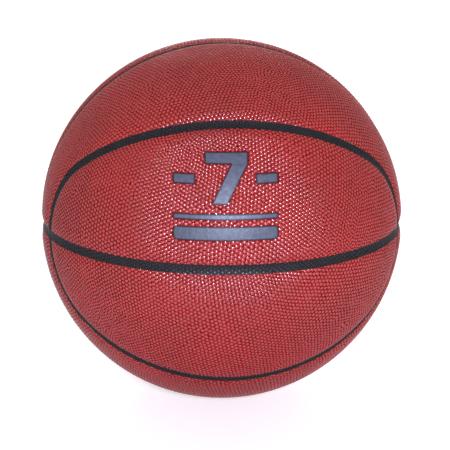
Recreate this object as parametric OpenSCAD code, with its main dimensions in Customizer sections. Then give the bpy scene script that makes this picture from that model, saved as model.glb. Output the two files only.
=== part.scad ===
// Eight-panel game ball: a bladder wound with thread, a rubber carcass, channel rubbers and a glued cover.
// The origin is the centre of the ball and +Z is up. The equator channel lies in the XY plane and the
// meridian channel in the XZ plane. An oval channel rings the front (-Y) and another the back (+Y).
// An oval is two arcs of great circles, its long sides, joined by two arcs of small circles, its ends.

/* [Cover] */
// Outside diameter over the cover panels
ball_d = 240; // [225:1:245]
// Thickness of a cover panel
cover_t = 2.4; // [2.2:0.1:2.8]
// Radius of the rounded shoulder along each panel edge
edge_round = 24; // [20:1:30]
// Depth under the cover at which the shoulder meets the panel's cut edge
edge_drop = 1.2; // [0.9:0.05:1.3]

/* [Channels] */
// Width between the cut edges of two neighbouring panels
channel_gap = 6.4; // [5:0.1:8]
// Depth of the channel rubber's face under the cover
channel_depth = 1.5; // [1.35:0.05:1.6]
// Width of the flange that runs under each panel edge
flange_w = 2; // [1:0.1:3]
// Thickness of that flange
flange_t = 0.4; // [0.3:0.05:0.5]
// Angle in degrees from the equator to the long side of an oval
oval_side_angle = 45; // [42:0.5:48]
// Angular radius in degrees of the round end of an oval
oval_end_angle = 32; // [29:0.5:35]

/* [Body] */
// Thickness of the moulded rubber carcass
carcass_t = 0.8; // [0.6:0.1:1.5]
// Thickness of the wound thread layer
winding_t = 0.7; // [0.5:0.1:1.2]
// Thickness of the bladder wall
bladder_t = 0.8; // [0.6:0.1:1.5]
// Bond line between two layers, and clearance around a seated piece
bond = 0.1; // [0.05:0.01:0.12]

/* [Valve] */
// Angle in degrees of the valve above the equator, on the back
valve_angle = 21; // [17:0.5:25]
// Outside diameter of the valve housing's stem
stem_d = 9.2; // [8.8:0.1:11]
// Depth of the stem's outer face under the cover
stem_sink = 0.7; // [0.5:0.05:1.2]
// Length of the stem
stem_l = 18; // [17:0.5:22]
// Diameter of the housing's flange inside the bladder
foot_d = 22; // [18:1:26]
// Thickness of that flange
foot_t = 1.2; // [0.8:0.1:1.6]
// Diameter of the round patch that backs the flange
patch_d = 34; // [28:1:40]
// Thickness of the patch
patch_t = 1; // [0.6:0.1:1.5]
// Diameter of the valve core's head
head_d = 6.6; // [6.2:0.1:7]
// Thickness of the head
head_t = 1.2; // [0.8:0.1:1.6]
// Diameter of the neck under the head
neck_d = 4.2; // [3.8:0.1:4.6]
// Length of the neck
neck_l = 3.6; // [3:0.1:4.2]
// Diameter of the plug that swells out under the neck
plug_d = 6; // [5.6:0.1:6.3]
// Length of the plug
plug_l = 5; // [4:0.1:5.5]
// Diameter of the plug's closed lips
lips_d = 3; // [2.8:0.1:3.4]
// Length of the taper from the plug to the lips
lips_l = 4; // [3.5:0.1:4.5]
// Diameter of the passage that takes the inflating needle
needle_d = 2; // [1.6:0.1:2.2]
// Depth of the needle passage under the head's face
needle_l = 11; // [9.5:0.1:12]
// Diameter of the funnel that leads the needle in
funnel_d = 3.4; // [3:0.1:3.6]
// Depth of the funnel
funnel_l = 0.9; // [0.6:0.1:1.1]

/* [Hidden] */
$fn = 96;

// Radii of the layers, from the outside in
cover_r = ball_d / 2;
seat_r = cover_r - cover_t;
carcass_r = seat_r - bond;
winding_r = carcass_r - carcass_t - bond;
bladder_r = winding_r - winding_t - bond;
patch_r = bladder_r - bladder_t - bond;
foot_r = patch_r - patch_t - bond;
rib_r = cover_r - channel_depth;

// A cut runs on past a face by this much
overrun = cover_t;
// Half of a box that holds the whole ball
reach = ball_d;

// Height of the shoulder circle's crest over the cover, so that it crosses the cover at a slope
crest_share = 0.02;
crest = edge_round * crest_share;
shoulder_w = sqrt(pow(edge_round, 2) - pow(edge_round - crest - edge_drop, 2));

// Longitude of an oval end's centre, at which the end arc meets the long side in line with it
end_longitude = acos(sin(oval_end_angle) / sin(oval_side_angle));
// Half of the long side's arc, measured around its own great circle
side_half_arc = atan(tan(end_longitude) / cos(oval_side_angle));
// Half of the end's arc, measured around the end's centre
end_half_arc = atan2(cos(oval_side_angle), sin(end_longitude) * sin(oval_side_angle));
// Length by which a long side runs into an end, as an angle at the ball's centre
arc_lap = 0.3;
lap_angle = atan(arc_lap / cover_r);
// An end's section is larger than a long side's by this much all round, so that the side meets a flat face
end_step = 0.02;
// Growth of a section that is being swept
$grow = 0;
// Share of the gap by which the rough oval is wider than the oval at its ends
rough_share = 0.25;
rough_angle = atan(channel_gap * rough_share / cover_r);

rubber_color = [0.11, 0.12, 0.12];
cover_color = [0.68, 0.17, 0.19];
bladder_color = [0.16, 0.15, 0.15];
thread_color = [0.86, 0.83, 0.76];
core_color = [0.30, 0.30, 0.31];

// Profiles of a channel, drawn in the XY plane where the channel crosses the X axis

// Band between two radii, with straight sides
module band_2d(inner_r, outer_r, width) {
    full_width = width + 2 * $grow;
    intersection() {
        difference() {
            circle(r = outer_r + $grow);
            circle(r = inner_r - $grow);
        }
        translate([0, -full_width / 2]) square([reach, full_width]);
    }
}

// Flange and rib of the channel rubber
module channel_2d() {
    band_2d(seat_r, seat_r + flange_t, channel_gap + 2 * flange_w);
    band_2d(seat_r, rib_r, channel_gap - 2 * bond);
}

// Space that a channel rubber takes in what it crosses
module seat_2d() {
    band_2d(seat_r - overrun, seat_r + flange_t + bond, channel_gap + 2 * (flange_w + bond));
    band_2d(seat_r - overrun, cover_r + overrun, channel_gap);
}

// The same space with the rounded shoulders of the panels beside it
module gap_2d() {
    seat_2d();
    difference() {
        translate([cover_r - edge_drop - $grow, -channel_gap / 2 - shoulder_w])
            square([edge_drop + overrun, channel_gap + 2 * shoulder_w]);
        for (side = [-1, 1])
            translate([cover_r - edge_round + crest, side * (channel_gap / 2 + shoulder_w)])
                circle(r = edge_round - $grow);
    }
}

// Sweeps of a profile along the channels

module equator_ring() {
    rotate_extrude() children();
}

module meridian_ring() {
    rotate([90, 0, 0]) rotate_extrude() children();
}

// Long side of the front oval above the equator, which runs a little way into both ends
module oval_side() {
    half_arc = side_half_arc + lap_angle;
    rotate([-oval_side_angle, 0, 0]) rotate_extrude(start = 270 - half_arc, angle = 2 * half_arc) children();
}

// Right end of the front oval
module oval_end() {
    $grow = end_step;
    rotate([90, 0, end_longitude])
        rotate_extrude(start = -end_half_arc, angle = 2 * end_half_arc)
            rotate(90 - oval_end_angle) children();
}

// Front oval without its lower long side
module oval_arch() {
    oval_side() children();
    oval_end() children();
    mirror([1, 0, 0]) oval_end() children();
}

// Regions seen from the centre of the ball

module upper_half() {
    translate([-reach, -reach, 0]) cube(2 * reach);
}

module front_half() {
    translate([-reach, -2 * reach, -reach]) cube(2 * reach);
}

// Cone from the centre over the right end of the front oval
module end_cone() {
    rotate([90, 0, end_longitude])
        cylinder(h = reach, r1 = 0, r2 = reach * tan(oval_end_angle + rough_angle));
}

// Inside of the front oval above the equator, out to somewhere within the channel's gap
module rough_oval() {
    end_cone();
    mirror([1, 0, 0]) end_cone();
    rotate([-oval_side_angle, 0, 0]) {
        far = 2 * reach;
        translate([0, 0, -far])
            linear_extrude(far)
                polygon([
                    [0, 0],
                    [-far * sin(side_half_arc), -far * cos(side_half_arc)],
                    [far * sin(side_half_arc), -far * cos(side_half_arc)]
                ]);
    }
}

module shell(outer_r, thickness) {
    difference() {
        sphere(r = outer_r);
        sphere(r = outer_r - thickness);
    }
}

// Copies to the four quarters: front or back, upper or lower

module place(back, lower) {
    mirror([0, back ? 1 : 0, 0]) mirror([0, 0, lower ? 1 : 0]) children();
}

// Cover panels

// Half-oval panel inside the oval channel
module oval_panel() {
    difference() {
        intersection() {
            shell(cover_r, cover_t);
            rough_oval();
            upper_half();
        }
        equator_ring() gap_2d();
        oval_arch() gap_2d();
    }
}

// Panel around the outside of the oval channel, from the equator to the meridian
module side_panel() {
    difference() {
        intersection() {
            shell(cover_r, cover_t);
            upper_half();
            front_half();
        }
        rough_oval();
        equator_ring() gap_2d();
        meridian_ring() gap_2d();
        oval_arch() gap_2d();
    }
}

// Channel rubbers

module equator_channel() {
    color(rubber_color) equator_ring() channel_2d();
}

// Upper half of the meridian channel, fitted over the equator channel
module meridian_channel() {
    color(rubber_color)
        difference() {
            intersection() {
                meridian_ring() channel_2d();
                upper_half();
            }
            equator_ring() seat_2d();
        }
}

// Upper half of the front oval channel, fitted over the equator channel
module oval_channel() {
    color(rubber_color)
        difference() {
            intersection() {
                oval_arch() channel_2d();
                upper_half();
            }
            equator_ring() seat_2d();
        }
}

// Valve. Its parts are drawn about the Z axis, with Z as the distance from the ball's centre

face_z = cover_r - stem_sink;
stem_hole_d = stem_d + 2 * bond;

module at_valve() {
    rotate([valve_angle - 90, 0, 0]) children();
}

module valve_hole() {
    at_valve() cylinder(h = reach, d = stem_hole_d);
}

// Part of a layer within a round cutter about the valve
module round_patch(outer_r, thickness, diameter) {
    intersection() {
        shell(outer_r, thickness);
        cylinder(h = reach, d = diameter);
    }
}

// Half of the core's outline from the head's face inwards, grown by a clearance
module core_2d(clearance) {
    head_z = face_z - head_t - clearance;
    neck_z = face_z - head_t - neck_l + clearance;
    plug_z = neck_z - plug_l - 2 * clearance;
    polygon([
        [0, face_z],
        [head_d / 2 + clearance, face_z],
        [head_d / 2 + clearance, head_z],
        [neck_d / 2 + clearance, head_z],
        [neck_d / 2 + clearance, neck_z],
        [plug_d / 2 + clearance, neck_z],
        [plug_d / 2 + clearance, plug_z],
        [lips_d / 2 + clearance, plug_z - lips_l],
        [0, plug_z - lips_l]
    ]);
}

module valve_core() {
    color(core_color)
        at_valve()
            difference() {
                rotate_extrude() core_2d(0);
                translate([0, 0, face_z - needle_l]) cylinder(h = needle_l + overrun, d = needle_d);
                translate([0, 0, face_z - funnel_l])
                    cylinder(h = funnel_l, d1 = needle_d, d2 = funnel_d);
            }
}

module valve_housing() {
    color(rubber_color)
        at_valve()
            difference() {
                union() {
                    translate([0, 0, face_z - stem_l]) cylinder(h = stem_l, d = stem_d);
                    round_patch(foot_r, foot_t, foot_d);
                }
                rotate_extrude() core_2d(bond);
                translate([0, 0, face_z - stem_l]) cylinder(h = stem_l, d = lips_d);
            }
}

module valve_patch() {
    color(rubber_color)
        at_valve()
            difference() {
                round_patch(patch_r, patch_t, patch_d);
                cylinder(h = reach, d = stem_hole_d);
            }
}

// Layers under the cover

module bladder() {
    color(bladder_color)
        difference() {
            shell(bladder_r, bladder_t);
            valve_hole();
        }
}

module thread_winding() {
    color(thread_color)
        difference() {
            shell(winding_r, winding_t);
            valve_hole();
        }
}

module carcass() {
    color(rubber_color)
        difference() {
            shell(carcass_r, carcass_t);
            valve_hole();
        }
}

bladder();
valve_patch();
valve_housing();
valve_core();
thread_winding();
carcass();
equator_channel();
meridian_channel();  // meridian_channel_upper
place(false, true) meridian_channel();  // meridian_channel_lower
oval_channel();  // oval_channel_front_upper
place(false, true) oval_channel();  // oval_channel_front_lower
place(true, false) oval_channel();  // oval_channel_back_upper
place(true, true) oval_channel();  // oval_channel_back_lower
color(cover_color) oval_panel();  // oval_panel_front_upper
color(cover_color) place(false, true) oval_panel();  // oval_panel_front_lower
color(cover_color)  // oval_panel_back_upper
        difference() {
            place(true, false) oval_panel();
            valve_hole();
        }
color(cover_color) place(true, true) oval_panel();  // oval_panel_back_lower
color(cover_color) side_panel();  // side_panel_front_upper
color(cover_color) place(false, true) side_panel();  // side_panel_front_lower
color(cover_color) place(true, false) side_panel();  // side_panel_back_upper
color(cover_color) place(true, true) side_panel();  // side_panel_back_lower
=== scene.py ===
"""Looks of the game ball: pebbled leather panels, channel rubbers, a stamped size mark, light and camera.

Lengths are in millimetres until a mesh is made. A direction is a unit vector from the centre of the ball.
"""

import math

import bpy
import numpy as np
from mathutils import Matrix, Vector
from mathutils.kdtree import KDTree


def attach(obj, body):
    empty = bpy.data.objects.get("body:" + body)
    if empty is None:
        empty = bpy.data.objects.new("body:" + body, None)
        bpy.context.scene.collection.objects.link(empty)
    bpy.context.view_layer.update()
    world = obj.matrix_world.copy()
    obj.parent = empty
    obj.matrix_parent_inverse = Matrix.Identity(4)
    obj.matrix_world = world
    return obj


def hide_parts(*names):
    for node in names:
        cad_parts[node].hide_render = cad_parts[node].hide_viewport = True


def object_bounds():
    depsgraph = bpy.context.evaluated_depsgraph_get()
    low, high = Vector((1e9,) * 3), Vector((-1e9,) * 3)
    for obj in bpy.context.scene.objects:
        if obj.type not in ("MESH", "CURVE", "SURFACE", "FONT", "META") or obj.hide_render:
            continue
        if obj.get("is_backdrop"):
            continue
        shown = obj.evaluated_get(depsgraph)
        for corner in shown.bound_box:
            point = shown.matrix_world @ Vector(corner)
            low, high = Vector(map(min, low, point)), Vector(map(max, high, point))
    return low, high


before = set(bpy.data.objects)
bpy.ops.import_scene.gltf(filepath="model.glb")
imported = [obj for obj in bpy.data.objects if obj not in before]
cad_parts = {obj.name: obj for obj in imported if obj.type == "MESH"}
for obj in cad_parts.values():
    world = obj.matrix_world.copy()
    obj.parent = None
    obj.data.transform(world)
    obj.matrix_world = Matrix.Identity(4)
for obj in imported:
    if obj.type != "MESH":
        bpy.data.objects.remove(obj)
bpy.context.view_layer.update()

MM = 0.001
SIDES = {1: "front", -1: "back"}
HEIGHTS = {1: "upper", -1: "lower"}

# Sizes of the solids, as in part.scad
COVER_R = 120.0
COVER_T = 2.4
EDGE_DROP = 1.2
CHANNEL_DEPTH = 1.5
CHANNEL_GAP = 6.4
BOND = 0.1
OVAL_SIDE_ANGLE = math.radians(45)
OVAL_END_ANGLE = math.radians(32)
VALVE_ANGLE = math.radians(21)
VALVE_HOLE_D = 9.4

# The oval's geometry that follows from its two angles
END_LONGITUDE = math.acos(math.sin(OVAL_END_ANGLE) / math.sin(OVAL_SIDE_ANGLE))
SIDE_HALF_ARC = math.atan(math.tan(END_LONGITUDE) / math.cos(OVAL_SIDE_ANGLE))
END_HALF_ARC = math.atan2(math.cos(OVAL_SIDE_ANGLE), math.sin(END_LONGITUDE) * math.sin(OVAL_SIDE_ANGLE))
END_CENTRE = np.array([math.sin(END_LONGITUDE), -math.cos(END_LONGITUDE), 0.0])
SIDE_POLE = np.array([0.0, math.sin(OVAL_SIDE_ANGLE), math.cos(OVAL_SIDE_ANGLE)])
VALVE_AXIS = np.array([0.0, math.cos(VALVE_ANGLE), math.sin(VALVE_ANGLE)])

# Grids of the whole sphere
MESH_STEPS = 280
SAME_POINT_DECIMALS = 6
NEIGHBOURS = 6

# Leather. The shoulder is wider and softer than the solid's, and the pebbles reach the solid's surface.
# The wall around a piece ends a bond line above the underside of the panels
SHOULDER_W = 7.0
HOLE_SHOULDER_W = 1.6
HOLE_SHOULDER_DROP = 0.35
WALL_DEPTH = COVER_T - BOND
EDGE_ROUNDS = 3
EDGE_PROBE = 1e-4
STEEPNESS_FLOOR = 1e-9

# Pebbles of the leather. Their centres are pushed apart while they are closer than the reach, which is
# more than the room that they have, so that they end up evenly spaced
PEBBLE_STEPS = 56
PEBBLE_H = 0.6
PEBBLE_WIDTH_SHARE = 1.16
PEBBLE_JITTER = 0.42
PEBBLE_REACH = 3.0
PEBBLE_SEED = 7
PEBBLE_SIZE_SPREAD = 0.03
PUSH_ROUNDS = 5
PUSH_SHARE = 0.25

# Channel rubber, which has lower pebbles of its own
HALF_GAP = CHANNEL_GAP / 2
HALF_RIB = HALF_GAP - BOND
RIB_HOLLOW = 0.4
RIB_COLUMNS = 15
RIB_STEP = 0.5
RIB_PEBBLE_STEPS = 58
RIB_PEBBLE_H = 0.22
RIB_PEBBLE_WIDTH_SHARE = 1.0
RIB_PEBBLE_JITTER = 0.35
RIB_PEBBLE_REACH = 2.5
RIB_PEBBLE_SEED = 8

# Size mark. The press is the relief that the stamp leaves, and the lift is the foil's height over it
MARKED_PANEL = "oval_panel_front_upper"
MARK_LONGITUDE = math.radians(-2.5)
MARK_PRESS = 0.15
MARK_LIFT = 0.03
MARK_FADE_W = 0.7
# Width over which the foil's painted shadow along its outline fades out
MARK_OUTLINE_SHADOW_W = 1.1
MARK_STEP = 0.5

# The mark's shapes on the unrolled panel, with x along the equator and y up from it. A bar is its bottom,
# top, left, right and corner radius. The leg is its bottom, its top, and its left and right at each.
# The joint isn't drawn: it keeps the outline from crossing the numeral where its head meets its leg
LOWER_BAR = (18.6, 27.2, -33, 33, 3.0)
UPPER_BAR = (31.4, 35.0, -33, 33, 0.6)
LEFT_DASH = (53.5, 60.0, -33, -19, 0.6)
RIGHT_DASH = (53.5, 60.0, 19, 33, 0.6)
NUMERAL_HEAD = (66.5, 74.5, -13, 14, 0.3)
NUMERAL_LEG = (41.0, 66.5, (-8.5, 1.0), (3.5, 14.0))
NUMERAL_JOINT = (65.2, 74.5, 3.4, 14, 0.3)


# Distances along the cover from the middle line of each channel


def arc(sine):
    """Length on the cover of the angle with that sine."""
    return COVER_R * np.arcsin(np.clip(sine, -1, 1))


def equator_offset(directions):
    return arc(directions[:, 2])


def meridian_offset(directions):
    return arc(directions[:, 1])


def oval_offset(directions, facing):
    """Positive outside the oval. facing is 1 for the front oval and -1 for the back one."""
    folded = np.abs(directions)
    folded[:, 1] = directions[:, 1] * facing
    to_end = COVER_R * (np.arccos(np.clip(folded @ END_CENTRE, -1, 1)) - OVAL_END_ANGLE)
    # The two arcs meet on the plane through the end's centre and the side's pole
    junction = np.cross(END_CENTRE, SIDE_POLE)
    along_side = (folded @ junction) * (-junction[1]) > 0
    return np.where(along_side, arc(folded @ SIDE_POLE), to_end)


def valve_offset(directions):
    """Distance from the edge of the hole in the leather."""
    return COVER_R * np.arccos(np.clip(directions @ VALVE_AXIS, -1, 1)) - VALVE_HOLE_D / 2


# Grids of directions


def unit(vectors):
    return vectors / np.linalg.norm(vectors, axis=-1, keepdims=True)


def icosahedron():
    t = (1 + math.sqrt(5)) / 2
    corners = [
        (-1, t, 0), (1, t, 0), (-1, -t, 0), (1, -t, 0), (0, -1, t), (0, 1, t),
        (0, -1, -t), (0, 1, -t), (t, 0, -1), (t, 0, 1), (-t, 0, -1), (-t, 0, 1),
    ]
    faces = [
        (0, 11, 5), (0, 5, 1), (0, 1, 7), (0, 7, 10), (0, 10, 11), (1, 5, 9), (5, 11, 4),
        (11, 10, 2), (10, 7, 6), (7, 1, 8), (3, 9, 4), (3, 4, 2), (3, 2, 6), (3, 6, 8),
        (3, 8, 9), (4, 9, 5), (2, 4, 11), (6, 2, 10), (8, 6, 7), (9, 8, 1),
    ]
    return unit(np.array(corners, float)), np.array(faces)


def geodesic(steps):
    """Directions and triangles of an icosahedron whose edges are cut into that many steps."""
    corners, faces = icosahedron()
    # A face's points lie in rows that widen from its first corner. starts has the first point of each row
    rows = np.repeat(np.arange(steps + 1), np.arange(steps + 1) + 1)
    starts = np.arange(steps + 1) * np.arange(1, steps + 2) // 2
    columns = np.arange(len(rows)) - starts[rows]
    weights = np.stack([steps - rows, rows - columns, columns], axis=1) / steps
    upper = np.flatnonzero(rows < steps)
    below = starts[rows[upper] + 1] + columns[upper]
    pointing_up = np.stack([upper, below, below + 1], axis=1)
    inner = upper[columns[upper] < rows[upper]]
    below = starts[rows[inner] + 1] + columns[inner]
    pointing_down = np.stack([inner, below + 1, inner + 1], axis=1)
    local = np.vstack([pointing_up, pointing_down])
    points = np.vstack([weights @ corners[face] for face in faces])
    triangles = np.vstack([local + i * len(weights) for i in range(len(faces))])
    points = unit(points)
    # Neighbouring faces share the points between them
    keys = np.round(points * 10**SAME_POINT_DECIMALS).astype(np.int64)
    _, first, inverse = np.unique(keys, axis=0, return_index=True, return_inverse=True)
    return points[first], inverse.reshape(-1)[triangles]


def grid_spacing(directions):
    """Distance between neighbouring points of a geodesic grid on the cover, were they evenly spaced."""
    return COVER_R * math.sqrt(8 * math.pi / math.sqrt(3) / len(directions))


def turned(directions, rng):
    """The same directions, turned by a random rotation."""
    axes, _ = np.linalg.qr(rng.normal(size=(3, 3)))
    return directions @ axes.T


def search_tree(points):
    tree = KDTree(len(points))
    for i, point in enumerate(points):
        tree.insert(point, i)
    tree.balance()
    return tree


def neighbours(centres):
    """From each centre's nearest neighbours: the way to the centre, and the distance."""
    tree = search_tree(centres)
    # The first that is found is the centre itself
    found = [tree.find_n(centre, NEIGHBOURS + 1) for centre in centres]
    near = np.array([[index for _, index, _ in hits] for hits in found])[:, 1:]
    away = centres[:, None, :] - centres[near]
    distance = np.linalg.norm(away, axis=2, keepdims=True)
    return away / distance, distance


def spread_out(centres, reach):
    """Pushes centres that are closer than the reach apart, along the cover."""
    away, distance = neighbours(centres)
    push = away * np.clip(reach - distance, 0, reach) * PUSH_SHARE
    return unit(centres + push.sum(axis=1)) * COVER_R


def lay_pebbles(steps, jitter, reach, seed):
    """Centres of pebbles over the whole sphere, in loosened rows, and the room that each has across."""
    rng = np.random.default_rng(seed)
    centres, _ = geodesic(steps)
    centres = unit(centres * COVER_R + rng.normal(size=centres.shape) * jitter) * COVER_R
    for _ in range(PUSH_ROUNDS):
        centres = spread_out(centres, reach)
    return centres, neighbours(centres)[1].mean(axis=(1, 2))


class Pebbles:
    """Domed pebbles over the whole sphere, each a paraboloid."""

    def __init__(self, centres, room, width_share, height, seed):
        """width_share is a pebble's width as a share of its room."""
        rng = np.random.default_rng(seed)
        self.height = height
        self.centres = turned(centres, rng)
        spread = 1 + PEBBLE_SIZE_SPREAD * rng.normal(size=len(room)).clip(-2, 2)
        self.radii = room * width_share / 2 * spread
        self.tree = search_tree(self.centres)

    def at(self, directions):
        """Relief, 1 on top of a pebble and 0 between them, and the slope as a tilt of the normal."""
        index = np.array([self.tree.find(point)[1] for point in directions * COVER_R])
        radii = self.radii[index][:, None]
        away = directions * COVER_R - self.centres[index]
        away -= (away * directions).sum(axis=1, keepdims=True) * directions
        share = np.linalg.norm(away, axis=1, keepdims=True) / radii
        inside = share < 1
        relief = np.where(inside, 1 - share**2, 0)
        return relief[:, 0], np.where(inside, 2 * self.height / radii**2 * away, 0)


# Meshes


def point_normals(points, triangles):
    """Normal at each point, from the triangles around it."""
    a, b, c = (points[triangles[:, i]] for i in range(3))
    face = np.cross(b - a, c - a)
    total = np.zeros_like(points)
    for i in range(3):
        for axis in range(3):
            total[:, axis] += np.bincount(triangles[:, i], face[:, axis], len(points))
    return unit(total)


def make_piece(name, points, triangles, materials, slots=None, relief=None, normals=None):
    """A mesh of points in mm. slots has each triangle's material, and relief and normals go by point."""
    mesh = bpy.data.meshes.new(name)
    mesh.from_pydata((points * MM).tolist(), [], triangles.tolist())
    for one in materials:
        mesh.materials.append(one)
    if slots is not None:
        mesh.polygons.foreach_set("material_index", slots.astype(np.int32))
    mesh.polygons.foreach_set("use_smooth", np.ones(len(triangles), bool))
    if relief is not None:
        values = mesh.attributes.new("relief", "FLOAT", "POINT")
        values.data.foreach_set("value", relief.astype(np.float32))
    mesh.update()
    if normals is not None:
        mesh.normals_split_custom_set_from_vertices(normals.tolist())
    piece = bpy.data.objects.new(name, mesh)
    bpy.context.scene.collection.objects.link(piece)
    return piece


def border_edges(triangles):
    """Directed edges that only one triangle has."""
    edges = np.vstack([triangles[:, [0, 1]], triangles[:, [1, 2]], triangles[:, [2, 0]]])
    count = int(edges.max()) + 1
    forward = edges[:, 0].astype(np.int64) * count + edges[:, 1]
    backward = edges[:, 1].astype(np.int64) * count + edges[:, 0]
    return edges[~np.isin(forward, backward)]


def add_wall(points, triangles, relief, normals):
    """Adds a wall along the border, down towards the centre of the ball. Its material is slot 1."""
    edges = border_edges(triangles)
    # The wall has points of its own along the rim, so that the edge stays sharp
    ring, edge_index = np.unique(edges, return_inverse=True)
    edge_index = edge_index.reshape(edges.shape)
    top = len(points) + edge_index
    low = top + len(ring)
    rim = points[ring]
    lower = unit(rim) * (COVER_R - WALL_DEPTH)
    a, b = top[:, 0], top[:, 1]
    c, d = low[:, 0], low[:, 1]
    wall = np.vstack([np.stack([b, a, c], 1), np.stack([b, c, d], 1)])
    points = np.vstack([points, rim, lower])
    relief = np.concatenate([relief, relief[ring], relief[ring]])
    slots = np.concatenate([np.zeros(len(triangles)), np.ones(len(wall))])
    wall_normals = point_normals(points, wall)[-2 * len(ring):]
    return points, np.vstack([triangles, wall]), relief, np.vstack([normals, wall_normals]), slots


# Leather panels


class Panel:
    """One panel of the cover. facing and rising are its keys in SIDES and HEIGHTS."""

    def __init__(self, kind, facing, rising):
        self.kind = kind
        self.facing = facing
        self.rising = rising

    def node(self):
        return f"{self.kind}_panel_{SIDES[self.facing]}_{HEIGHTS[self.rising]}"

    def edge_distances(self, directions):
        """Distances inwards from each cut edge along a channel, positive inside the panel."""
        oval = oval_offset(directions, self.facing)
        distances = [self.rising * equator_offset(directions) - HALF_GAP]
        if self.kind == "oval":
            distances.append(-oval - HALF_GAP)
        else:
            distances.append(oval - HALF_GAP)
            distances.append(-self.facing * meridian_offset(directions) - HALF_GAP)
        return distances

    def has_valve(self):
        return self.kind == "oval" and self.facing < 0 < self.rising

    def inset(self, directions):
        """Distance inwards from the nearest edge, the valve's hole included."""
        distances = self.edge_distances(directions)
        if self.has_valve():
            distances.append(valve_offset(directions))
        return np.minimum.reduce(distances)

    def drop(self, directions):
        """Depth of the shoulders under the cover's outer radius."""
        level = np.ones(len(directions))
        for distance in self.edge_distances(directions):
            level *= 1 - np.clip(1 - distance / SHOULDER_W, 0, 1) ** 2
        depth = EDGE_DROP * (1 - level)
        if self.has_valve():
            share = np.clip(1 - valve_offset(directions) / HOLE_SHOULDER_W, 0, 1)
            depth += HOLE_SHOULDER_DROP * share**2
        return depth


def move_to_edge(directions, panel):
    """Moves directions along the cover onto the panel's cut edge."""
    for _ in range(EDGE_ROUNDS):
        here = panel.inset(directions)
        gradient = np.empty_like(directions)
        for axis in range(3):
            step = np.zeros(3)
            step[axis] = EDGE_PROBE
            gradient[:, axis] = (panel.inset(unit(directions + step)) - here) / EDGE_PROBE
        steepness = (gradient**2).sum(axis=1, keepdims=True).clip(STEEPNESS_FLOOR)
        directions = unit(directions - here[:, None] * gradient / steepness)
    return directions


def cut_panel(directions, triangles, panel):
    """The part of the grid inside the panel, with the points nearest to its edge moved onto the edge."""
    inset = panel.inset(directions)
    near = np.abs(inset) < grid_spacing(directions) / 2
    kept = (inset > 0) | near
    moved = directions.copy()
    moved[near] = move_to_edge(directions[near], panel)
    whole = kept[triangles].all(axis=1) & ~near[triangles].all(axis=1)
    used, renumbered = np.unique(triangles[whole], return_inverse=True)
    return moved[used], renumbered.reshape(-1, 3)


def make_panel(panel, grid, pebbles, leather, raw_edge):
    """A panel's pebbled leather. On the marked panel, the pebbles are pressed down under the mark."""
    directions, triangles = cut_panel(*grid, panel)
    relief, tilt = pebbles.at(directions)
    if panel.node() == MARKED_PANEL:
        pressed = mark_mask(directions)
        relief += (MARK_PRESS - relief) * pressed
        tilt *= (1 - pressed)[:, None]
    smooth = directions * (COVER_R - panel.drop(directions))[:, None]
    normals = unit(point_normals(smooth, triangles) + tilt)
    points = smooth - directions * (pebbles.height * (1 - relief))[:, None]
    points, triangles, relief, normals, slots = add_wall(points, triangles, relief, normals)
    name = "leather_" + panel.node()
    piece = make_piece(name, points, triangles, [leather, raw_edge], slots, relief, normals)
    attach(piece, "root")
    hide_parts(panel.node())


# Channel rubbers


def rib_offsets():
    """Angles across a rib."""
    return np.linspace(-HALF_RIB, HALF_RIB, RIB_COLUMNS) / COVER_R


def steps_for(angle):
    """Rows of a rib's grid for an angle along the cover."""
    return int(round(angle * COVER_R / RIB_STEP))


def ring_directions(across, along):
    """Directions around the Z axis. along is the angle from the right, and across the angle upwards."""
    flat = np.cos(across)
    return np.stack([flat * np.cos(along), flat * np.sin(along), np.sin(across) + 0 * along], axis=2)


def equator_grid():
    across = rib_offsets()[None, :]
    along = np.linspace(0, 2 * math.pi, steps_for(2 * math.pi), endpoint=False)[:, None]
    return ring_directions(across, along - math.pi / 2)


def meridian_grid():
    """Upper half, from the equator rib's edge on the right to its edge on the left."""
    across = rib_offsets()[None, :]
    start = np.arcsin(math.sin(HALF_RIB / COVER_R) / np.cos(across))
    share = np.linspace(0, 1, steps_for(math.pi))[:, None]
    along = start + (math.pi - 2 * start) * share
    return ring_directions(across, along)[:, :, [0, 2, 1]]


def oval_grid():
    """Upper half of the front oval, from the equator rib's edge on the right to its edge on the left."""
    across = rib_offsets()[None, :, None]
    outwards = np.array([math.cos(END_LONGITUDE), math.sin(END_LONGITUDE), 0.0])
    upwards = np.array([0.0, 0.0, 1.0])
    # Right end: an arc of a small circle
    reach = OVAL_END_ANGLE + across
    start = np.arcsin(math.sin(HALF_RIB / COVER_R) / np.sin(reach))
    share = np.linspace(0, 1, steps_for(END_HALF_ARC * math.sin(OVAL_END_ANGLE)))[:, None, None]
    turn = start + (END_HALF_ARC - start) * share
    end = np.cos(reach) * END_CENTRE + np.sin(reach) * (np.cos(turn) * outwards + np.sin(turn) * upwards)
    # Long side: an arc of a great circle
    middle = np.array([0.0, -math.cos(OVAL_SIDE_ANGLE), math.sin(OVAL_SIDE_ANGLE)])
    rightwards = np.array([1.0, 0.0, 0.0])
    count = steps_for(2 * SIDE_HALF_ARC)
    along = np.linspace(SIDE_HALF_ARC, -SIDE_HALF_ARC, count)[1:-1, None, None]
    line = np.cos(along) * middle + np.sin(along) * rightwards
    side = np.cos(across) * line + np.sin(across) * SIDE_POLE
    other_end = end[::-1] * np.array([-1.0, 1.0, 1.0])
    return np.concatenate([end, side, other_end])


def rib_radii(directions):
    """Radius of the ribs' hollow face. Where two ribs cross, their hollows run into each other."""
    offsets = [oval_offset(directions, facing) for facing in (1, -1)]
    offsets += [equator_offset(directions), meridian_offset(directions)]
    level = np.ones(len(directions))
    for offset in offsets:
        level *= 1 - np.clip(1 - (offset / HALF_RIB) ** 2, 0, 1)
    return COVER_R - CHANNEL_DEPTH - RIB_HOLLOW * (1 - level)


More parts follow.
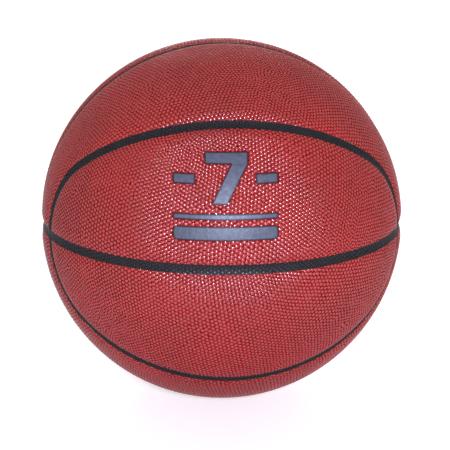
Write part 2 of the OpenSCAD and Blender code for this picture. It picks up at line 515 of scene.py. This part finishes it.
def grid_triangles(rows, columns, closed):
    """Two triangles for each cell of a grid. The last row joins the first one if it is closed."""
    row = np.arange(rows if closed else rows - 1)[:, None]
    column = np.arange(columns - 1)[None, :]
    a = row * columns + column
    b = (row + 1) % rows * columns + column
    quads = np.stack([a, b, b + 1, a + 1], axis=2).reshape(-1, 4)
    return np.vstack([quads[:, [0, 1, 2]], quads[:, [0, 2, 3]]])


def facing_outwards(points, triangles):
    """The triangles, all turned over if the first faces the centre."""
    a, b, c = points[triangles[0]]
    return triangles if np.cross(b - a, c - a) @ a > 0 else triangles[:, ::-1]


def make_rib(node, directions, signs, closed, pebbles, rubber):
    """A channel's rubber on a grid of directions, which the signs of x, y and z mirror."""
    rows, columns, _ = directions.shape
    directions = directions.reshape(-1, 3) * np.array(signs, float)
    relief, tilt = pebbles.at(directions)
    smooth = directions * rib_radii(directions)[:, None]
    triangles = facing_outwards(smooth, grid_triangles(rows, columns, closed))
    normals = unit(point_normals(smooth, triangles) + tilt)
    points = smooth - directions * (pebbles.height * (1 - relief))[:, None]
    points, triangles, relief, normals, _ = add_wall(points, triangles, relief, normals)
    piece = make_piece("rubber_" + node, points, triangles, [rubber], None, relief, normals)
    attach(piece, "root")
    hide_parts(node)


# Size mark


def slab(bottom, top, left, right, corner):
    """A bar with rounded corners, as rows of height, left end and right end."""
    heights = np.linspace(bottom, top, max(3, int((top - bottom) / MARK_STEP * 2)))
    to_edge = np.minimum(np.minimum(heights - bottom, top - heights), corner)
    inset = corner - np.sqrt(corner**2 - (corner - to_edge) ** 2)
    return np.stack([heights, left + inset, right - inset], axis=1)


def slant(bottom, top, low, high):
    """A slanted bar. low is its left and right at the bottom, and high is the same at the top."""
    heights = np.linspace(bottom, top, int((top - bottom) / MARK_STEP))
    share = (heights - bottom) / (top - bottom)
    left, right = (low[i] + (high[i] - low[i]) * share for i in (0, 1))
    return np.stack([heights, left, right], axis=1)


def mark_shapes():
    return [
        slab(*LOWER_BAR), slab(*UPPER_BAR), slab(*NUMERAL_HEAD), slant(*NUMERAL_LEG),
        slab(*LEFT_DASH), slab(*RIGHT_DASH),
    ]


def mark_inset(x, y):
    """Distance inwards from the outline of the mark."""
    insets = []
    for shape in [*mark_shapes(), slab(*NUMERAL_JOINT)]:
        left = np.interp(y, shape[:, 0], shape[:, 1])
        right = np.interp(y, shape[:, 0], shape[:, 2])
        insets.append(np.minimum.reduce([x - left, right - x, y - shape[0, 0], shape[-1, 0] - y]))
    return np.maximum.reduce(insets)


def mark_direction(flat):
    """Direction of points on the unrolled panel."""
    latitude = flat[..., 1] / COVER_R
    longitude = MARK_LONGITUDE + flat[..., 0] / (COVER_R * np.cos(latitude))
    x = np.sin(longitude) * np.cos(latitude)
    y = -np.cos(longitude) * np.cos(latitude)
    return np.stack([x, y, np.sin(latitude)], axis=-1)


def mark_flat(directions):
    """Places of directions on the unrolled panel."""
    latitude = np.arcsin(directions[:, 2].clip(-1, 1))
    longitude = np.arctan2(directions[:, 0], -directions[:, 1])
    return (longitude - MARK_LONGITUDE) * COVER_R * np.cos(latitude), latitude * COVER_R


def mark_mask(directions):
    """1 where the mark is stamped, falling to 0 around it."""
    share = np.clip(1 + mark_inset(*mark_flat(directions)) / MARK_FADE_W, 0, 1)
    return share * share * (3 - 2 * share)


def make_mark(foil):
    """The foil of the mark. Its relief runs from 0 at its outline to 1 inside, and sets the painted
    shadow along the outline.
    """
    all_points, all_triangles, all_relief, count = [], [], [], 0
    radius = COVER_R - PEBBLE_H * (1 - MARK_PRESS) + MARK_LIFT
    for shape in mark_shapes():
        columns = max(3, int((shape[:, 2] - shape[:, 1]).max() / MARK_STEP))
        share = np.linspace(0, 1, columns)
        x = shape[:, 1:2] * (1 - share) + shape[:, 2:3] * share
        y = np.repeat(shape[:, 0:1], columns, axis=1)
        points = mark_direction(np.stack([x, y], axis=-1)).reshape(-1, 3) * radius
        triangles = facing_outwards(points, grid_triangles(len(shape), columns, False))
        all_points.append(points)
        all_triangles.append(triangles + count)
        all_relief.append(np.clip(mark_inset(x, y) / MARK_OUTLINE_SHADOW_W, 0, 1).reshape(-1))
        count += len(points)
    relief = np.concatenate(all_relief)
    piece = make_piece("size_mark", np.vstack(all_points), np.vstack(all_triangles), [foil], None, relief)
    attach(piece, "root")


# Materials

# A low IOR keeps the grazing gloss low, and a strong tint makes up for it where the ball is seen squarely
GLOSS_IOR = 1.08
LEATHER_TINT = (28, 27.5, 28, 1)
RUBBER_TINT = (18, 20, 23, 1)
FOIL_TINT = (0.85, 1.0, 1.15, 1)
# Painted shade: the leather is painted darker in the valleys between the pebbles and less dark on their
# slopes, and has its own red on top
SHADED_VALLEY_RED = (0.11, 0.0016, 0.0018, 1)
SHADED_SLOPE_RED = (0.195, 0.0024, 0.0028, 1)
TOP_RED = (0.395, 0.006, 0.006, 1)
DYED_EDGE = (0.09, 0.012, 0.014, 1)
DARK_FIBRE = (0.2, 0.1, 0.06, 1)
PALE_FIBRE = (0.42, 0.28, 0.17, 1)
# Painted shade: the channel rubber is painted darker in the valleys between its pebbles
SHADED_CHANNEL_VALLEY = (0.006, 0.005, 0.005, 1)
CHANNEL_TOP = (0.012, 0.01, 0.009, 1)
CHANNEL_DUST = (0.03, 0.026, 0.024, 1)
FOIL_DARK = (0.034, 0.036, 0.058, 1)
FOIL_LIGHT = (0.06, 0.068, 0.095, 1)
# Painted shadow: the foil is painted dark along its outline, where the stamp's edge is pressed in
FOIL_OUTLINE_SHADOW = (0.01, 0.006, 0.01, 1)
DARK_THREAD = (0.42, 0.38, 0.3, 1)
PALE_THREAD = (0.75, 0.71, 0.62, 1)
THREAD_WAVES = 900
NOISE_ROUGHNESS = 0.55
NOISE_RANGE = (0.3, 0.7)
LEATHER_ROUGHNESS = 0.18
MIX_COLOUR_A = 6
MIX_COLOUR_B = 7
MIX_COLOUR_RESULT = 2

# Plain rubbers: the two colours of their faint patches, and their roughness
PLAIN_RUBBERS = {
    "carcass_rubber": ((0.02, 0.02, 0.02, 1), (0.032, 0.032, 0.032, 1), 0.7),
    "bladder_rubber": ((0.03, 0.028, 0.026, 1), (0.048, 0.046, 0.044, 1), 0.6),
    "valve_rubber": ((0.016, 0.017, 0.018, 1), (0.026, 0.028, 0.029, 1), 0.5),
    "core_rubber": ((0.022, 0.022, 0.023, 1), (0.038, 0.038, 0.04, 1), 0.5),
}
ROUGHNESS_SPREAD = 0.06


class Nodes:
    """A new material's node tree, with short calls for what the materials here share."""

    def __init__(self, name):
        self.material = bpy.data.materials.new(name)
        self.material.use_nodes = True
        self.tree = self.material.node_tree
        self.shader = self.tree.nodes["Principled BSDF"]
        self.place = self.tree.nodes.new("ShaderNodeTexCoord").outputs["Object"]

    def add(self, kind, inputs=None, **settings):
        made = self.tree.nodes.new(kind)
        for key, value in settings.items():
            setattr(made, key, value)
        for key, value in (inputs or {}).items():
            self.feed(made.inputs[key], value)
        return made

    def feed(self, socket, value):
        if isinstance(value, bpy.types.NodeSocket):
            self.tree.links.new(value, socket)
        else:
            socket.default_value = value

    def attribute(self, name):
        return self.add("ShaderNodeAttribute", attribute_name=name).outputs["Fac"]

    def noise(self, size_mm, detail=3.0):
        """Soft noise, whose values lie mostly in NOISE_RANGE."""
        inputs = {
            "Vector": self.place,
            "Scale": 1 / (size_mm * MM),
            "Detail": detail,
            "Roughness": NOISE_ROUGHNESS,
        }
        return self.add("ShaderNodeTexNoise", inputs).outputs["Fac"]

    def varied(self, size_mm, low, high):
        """Values from low to high in soft patches."""
        return self.span(self.noise(size_mm), low, high, *NOISE_RANGE)

    def cells(self, size_mm):
        """Distance from the middle of the nearest cell."""
        inputs = {"Vector": self.place, "Scale": 1 / (size_mm * MM)}
        return self.add("ShaderNodeTexVoronoi", inputs).outputs["Distance"]

    def span(self, value, low, high, from_low=0.0, from_high=1.0):
        """The value's range from from_low to from_high, stretched to run from low to high."""
        inputs = {
            "Value": value,
            "From Min": from_low,
            "From Max": from_high,
            "To Min": low,
            "To Max": high,
        }
        return self.add("ShaderNodeMapRange", inputs).outputs["Result"]

    def math(self, operation, a, b):
        return self.add("ShaderNodeMath", {0: a, 1: b}, operation=operation).outputs[0]

    def blend(self, share, a, b, mode="MIX"):
        """Mixes two colours. The node has several sockets named A and B, so these go by number."""
        made = self.add("ShaderNodeMix", data_type="RGBA", blend_type=mode)
        self.feed(made.inputs[0], share)
        self.feed(made.inputs[MIX_COLOUR_A], a)
        self.feed(made.inputs[MIX_COLOUR_B], b)
        return made.outputs[MIX_COLOUR_RESULT]

    def bump(self, height, distance_mm):
        inputs = {"Height": height, "Distance": distance_mm * MM, "Strength": 1.0}
        return self.add("ShaderNodeBump", inputs).outputs["Normal"]

    def surface(self, **inputs):
        """Feeds the shader's sockets, each named with _ for a blank, and returns the material."""
        for key, value in inputs.items():
            self.feed(self.shader.inputs[key.replace("_", " ")], value)
        return self.material


def leather_material():
    n = Nodes("leather")
    relief = n.attribute("relief")
    # Painted shade: darker in the valleys between the pebbles, less so on their slopes
    low = n.blend(n.span(relief, 0, 1, 0.05, 0.5), SHADED_VALLEY_RED, SHADED_SLOPE_RED)
    colour = n.blend(n.span(relief, 0, 1, 0.45, 0.88), low, TOP_RED)
    shade = n.math("MULTIPLY", n.varied(38, 0.88, 1.1), n.varied(2.2, 0.92, 1.08))
    shade_colour = n.add("ShaderNodeCombineColor", {0: shade, 1: shade, 2: shade}).outputs[0]
    colour = n.blend(1.0, colour, shade_colour, "MULTIPLY")
    # Rougher between the pebbles and worn smoother on top, more so in some places than in others
    dulling = n.math("MULTIPLY", n.span(relief, 0.1, -0.05, 0.2, 1.0), n.span(n.noise(9), 0.6, 1.4))
    roughness = n.math("ADD", LEATHER_ROUGHNESS, dulling)
    grain = n.math("ADD", n.cells(0.34), n.noise(0.16, 2))
    normal = n.bump(grain, 0.005)
    polish = n.span(relief, 0.03, 0.85, 0.32, 0.68)
    shine = {"IOR": GLOSS_IOR, "Specular_IOR_Level": polish, "Specular_Tint": LEATHER_TINT}
    return n.surface(Base_Color=colour, Roughness=roughness, Normal=normal, **shine)


def raw_edge_material():
    n = Nodes("raw_edge")
    pale = n.span(n.noise(11), 0, 1, 0.52, 0.7)
    fibres = n.blend(n.noise(0.3), DARK_FIBRE, PALE_FIBRE)
    colour = n.blend(pale, DYED_EDGE, fibres)
    return n.surface(Base_Color=colour, Roughness=0.85, Normal=n.bump(n.noise(0.25), 0.05))


def rubber_material(name, dark, light, roughness):
    n = Nodes(name)
    colour = n.blend(n.varied(6, 0, 1), dark, light)
    rough = n.varied(3, roughness - ROUGHNESS_SPREAD, roughness + ROUGHNESS_SPREAD)
    return n.surface(Base_Color=colour, Roughness=rough, Normal=n.bump(n.noise(0.3, 2), 0.012))


def channel_material():
    n = Nodes("channel_rubber")
    relief = n.attribute("relief")
    # Painted shade: darker in the valleys between the pebbles
    colour = n.blend(relief, SHADED_CHANNEL_VALLEY, CHANNEL_TOP)
    dust = n.span(n.noise(5), 0, 0.25, 0.5, 0.75)
    colour = n.blend(dust, colour, CHANNEL_DUST)
    rough = n.span(relief, 0.45, 0.24)
    normal = n.bump(n.noise(0.22, 2), 0.008)
    polish = n.span(relief, 0.2, 0.4, 0.2, 0.8)
    shine = {"IOR": GLOSS_IOR, "Specular_IOR_Level": polish, "Specular_Tint": RUBBER_TINT}
    return n.surface(Base_Color=colour, Roughness=rough, Normal=normal, **shine)


def foil_material():
    n = Nodes("mark_foil")
    inside = n.span(n.attribute("relief"), 0, 1, 0.3, 1.0)
    colour = n.blend(n.varied(4, 0, 1), FOIL_DARK, FOIL_LIGHT)
    # Painted shadow: a dark outline along the mark's edge
    colour = n.blend(inside, FOIL_OUTLINE_SHADOW, colour)
    dimples = n.math("ADD", n.span(n.cells(2.6), 0, 1, 0.0, 0.7), n.span(n.noise(0.4), 0, 0.4))
    rough = n.varied(1.5, 0.4, 0.52)
    shine = {"Specular_IOR_Level": n.span(inside, 0.2, 0.55), "Specular_Tint": FOIL_TINT}
    return n.surface(Base_Color=colour, Roughness=rough, Normal=n.bump(dimples, 0.06), **shine)


def thread_material():
    n = Nodes("nylon_thread")
    inputs = {"Vector": n.place, "Scale": THREAD_WAVES, "Distortion": 3.0}
    strands = n.add("ShaderNodeTexWave", inputs).outputs["Fac"]
    colour = n.blend(strands, DARK_THREAD, PALE_THREAD)
    return n.surface(Base_Color=colour, Roughness=0.7, Normal=n.bump(strands, 0.1))


def dress_cad_nodes():
    """Finishes of the solids that no mesh replaces."""
    rubbers = {name: rubber_material(name, *finish) for name, finish in PLAIN_RUBBERS.items()}
    finishes = {
        "bladder": rubbers["bladder_rubber"],
        "valve_patch": rubbers["bladder_rubber"],
        "valve_housing": rubbers["valve_rubber"],
        "valve_core": rubbers["core_rubber"],
        "thread_winding": thread_material(),
        "carcass": rubbers["carcass_rubber"],
    }
    for node, finish in finishes.items():
        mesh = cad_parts[node].data
        mesh.materials.clear()
        mesh.materials.append(finish)


# Camera, light and floor

# Distances are in metres here, and angles in degrees. The ball's offset is to the right and upwards from
# the middle of the picture
CAMERA_DISTANCE = 1.44
CAMERA_AZIMUTH = -3.9
CAMERA_ELEVATION = 15.75
CAMERA_ROLL = 0.28
SENSOR_WIDTH_MM = 36.0
FOCAL_PIXELS = 2154.8
FRAME_PIXELS = 450
BALL_OFFSET_PIXELS = (-3.7, 7.2)
FRONT_LIGHT = {
    "azimuth": 1.0,
    "elevation": 18,
    "distance": 2.4,
    "size": 0.38,
    "watts": 65,
    "colour": (0.95, 0.93, 1.18),
}
REAR_LIGHT = {
    "azimuth": 178,
    "elevation": 20,
    "distance": 2.4,
    "size": 0.3,
    "watts": 4,
    "colour": (1, 1, 1),
}
AMBIENT = 0.14
REAR_GLOW = 2.3
GLOW_AZIMUTH = 177
GLOW_ELEVATION = 12
GLOW_HALF_WIDTH = 75
FLOOR_REACH = 30.0
FLOOR_WHITENESS = 0.54
FLOOR_PAPER = {
    "Base Color": (0.8, 0.8, 0.8, 1),
    "Roughness": 0.9,
    "Specular IOR Level": 0.1,
    "Emission Color": (1, 1, 1, 1),
}


def towards(azimuth, elevation):
    """Direction from the ball, with the front at azimuth 0 and the right at 90."""
    azimuth, elevation = math.radians(azimuth), math.radians(elevation)
    return Vector((
        math.sin(azimuth) * math.cos(elevation),
        -math.cos(azimuth) * math.cos(elevation),
        math.sin(elevation),
    ))


def make_camera():
    data = bpy.data.cameras.new("camera")
    data.sensor_width = SENSOR_WIDTH_MM
    data.lens = SENSOR_WIDTH_MM * FOCAL_PIXELS / FRAME_PIXELS
    data.shift_x = -BALL_OFFSET_PIXELS[0] / FRAME_PIXELS
    data.shift_y = -BALL_OFFSET_PIXELS[1] / FRAME_PIXELS
    camera = bpy.data.objects.new("camera", data)
    back = towards(CAMERA_AZIMUTH, CAMERA_ELEVATION)
    roll = Matrix.Rotation(math.radians(CAMERA_ROLL), 3, "Z")
    turn = (-back).to_track_quat("-Z", "Y").to_matrix() @ roll
    camera.matrix_world = Matrix.Translation(back * CAMERA_DISTANCE) @ turn.to_4x4()
    bpy.context.scene.collection.objects.link(camera)
    bpy.context.scene.camera = camera


def make_softbox(name, azimuth, elevation, distance, size, watts, colour):
    data = bpy.data.lights.new(name, "AREA")
    data.shape = "DISK"
    data.size = size
    data.energy = watts
    data.color = colour
    lamp = bpy.data.objects.new(name, data)
    place = towards(azimuth, elevation) * distance
    lamp.matrix_world = Matrix.Translation(place) @ place.to_track_quat("Z", "Y").to_matrix().to_4x4()
    bpy.context.scene.collection.objects.link(lamp)


def seen_directly(tree):
    """1 for camera, glossy and transmission rays, which see the white background."""
    path = tree.nodes.new("ShaderNodeLightPath")
    total = path.outputs["Is Camera Ray"]
    for name in ("Is Glossy Ray", "Is Transmission Ray"):
        adding = tree.nodes.new("ShaderNodeMath")
        adding.operation = "MAXIMUM"
        tree.links.new(total, adding.inputs[0])
        tree.links.new(path.outputs[name], adding.inputs[1])
        total = adding.outputs[0]
    return total


def soft_glow(tree):
    """Soft light from all around, with more of it from behind the ball."""
    direction = tree.nodes.new("ShaderNodeTexCoord").outputs["Generated"]
    facing = tree.nodes.new("ShaderNodeVectorMath")
    facing.operation = "DOT_PRODUCT"
    facing.inputs[1].default_value = towards(GLOW_AZIMUTH, GLOW_ELEVATION)
    tree.links.new(direction, facing.inputs[0])
    lobe = tree.nodes.new("ShaderNodeMapRange")
    lobe.interpolation_type = "SMOOTHSTEP"
    lobe.inputs["From Min"].default_value = math.cos(math.radians(GLOW_HALF_WIDTH))
    lobe.inputs["To Min"].default_value = AMBIENT
    lobe.inputs["To Max"].default_value = AMBIENT + REAR_GLOW
    tree.links.new(facing.outputs["Value"], lobe.inputs["Value"])
    return lobe.outputs["Result"]


def make_world():
    """White where it is seen, and the soft light for everything else."""
    world = bpy.data.worlds.new("studio")
    world.use_nodes = True
    tree = world.node_tree
    background = tree.nodes["Background"]
    background.inputs["Color"].default_value = (1, 1, 1, 1)
    level = tree.nodes.new("ShaderNodeMapRange")
    level.inputs["To Max"].default_value = 1.0
    tree.links.new(soft_glow(tree), level.inputs["To Min"])
    tree.links.new(seen_directly(tree), level.inputs["Value"])
    tree.links.new(level.outputs["Result"], background.inputs["Strength"])
    bpy.context.scene.world = world


def make_floor(height):
    """A pale floor that adds its own white where it is seen, so that it fades into the background."""
    mesh = bpy.data.meshes.new("floor")
    signs = ((-1, -1), (1, -1), (1, 1), (-1, 1))
    corners = [(x * FLOOR_REACH, y * FLOOR_REACH, height) for x, y in signs]
    mesh.from_pydata(corners, [], [(0, 1, 2, 3)])
    floor = bpy.data.objects.new("floor", mesh)
    bpy.context.scene.collection.objects.link(floor)
    paper = bpy.data.materials.new("floor_paper")
    paper.use_nodes = True
    tree = paper.node_tree
    shader = tree.nodes["Principled BSDF"]
    for key, value in FLOOR_PAPER.items():
        shader.inputs[key].default_value = value
    glow = tree.nodes.new("ShaderNodeMath")
    glow.operation = "MULTIPLY"
    glow.inputs[1].default_value = FLOOR_WHITENESS
    tree.links.new(seen_directly(tree), glow.inputs[0])
    tree.links.new(glow.outputs[0], shader.inputs["Emission Strength"])
    mesh.materials.append(paper)
    floor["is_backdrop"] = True


# The ball and its stage

make_camera()
leather = leather_material()
raw_edge = raw_edge_material()
rubber = channel_material()
grid = geodesic(MESH_STEPS)
quarters = [(facing, rising) for facing in SIDES for rising in HEIGHTS]
panels = [Panel(kind, facing, rising) for kind in ("oval", "side") for facing, rising in quarters]

# The seed of a panel turns the pebbles, so that no two panels look alike
laid = lay_pebbles(PEBBLE_STEPS, PEBBLE_JITTER, PEBBLE_REACH, PEBBLE_SEED)
for seed, panel in enumerate(panels):
    pebbles = Pebbles(*laid, PEBBLE_WIDTH_SHARE, PEBBLE_H, seed)
    make_panel(panel, grid, pebbles, leather, raw_edge)

rib_laid = lay_pebbles(RIB_PEBBLE_STEPS, RIB_PEBBLE_JITTER, RIB_PEBBLE_REACH, RIB_PEBBLE_SEED)
rib_pebbles = Pebbles(*rib_laid, RIB_PEBBLE_WIDTH_SHARE, RIB_PEBBLE_H, len(panels))
make_rib("equator_channel", equator_grid(), (1, 1, 1), True, rib_pebbles, rubber)
for rising, height in HEIGHTS.items():
    make_rib("meridian_channel_" + height, meridian_grid(), (1, 1, rising), False, rib_pebbles, rubber)
for facing, rising in quarters:
    node = f"oval_channel_{SIDES[facing]}_{HEIGHTS[rising]}"
    make_rib(node, oval_grid(), (1, facing, rising), False, rib_pebbles, rubber)
make_mark(foil_material())
dress_cad_nodes()

make_world()
make_floor(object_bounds()[0].z)
make_softbox("front_light", **FRONT_LIGHT)
make_softbox("rear_light", **REAR_LIGHT)
bpy.context.scene.view_settings.view_transform = "Standard"
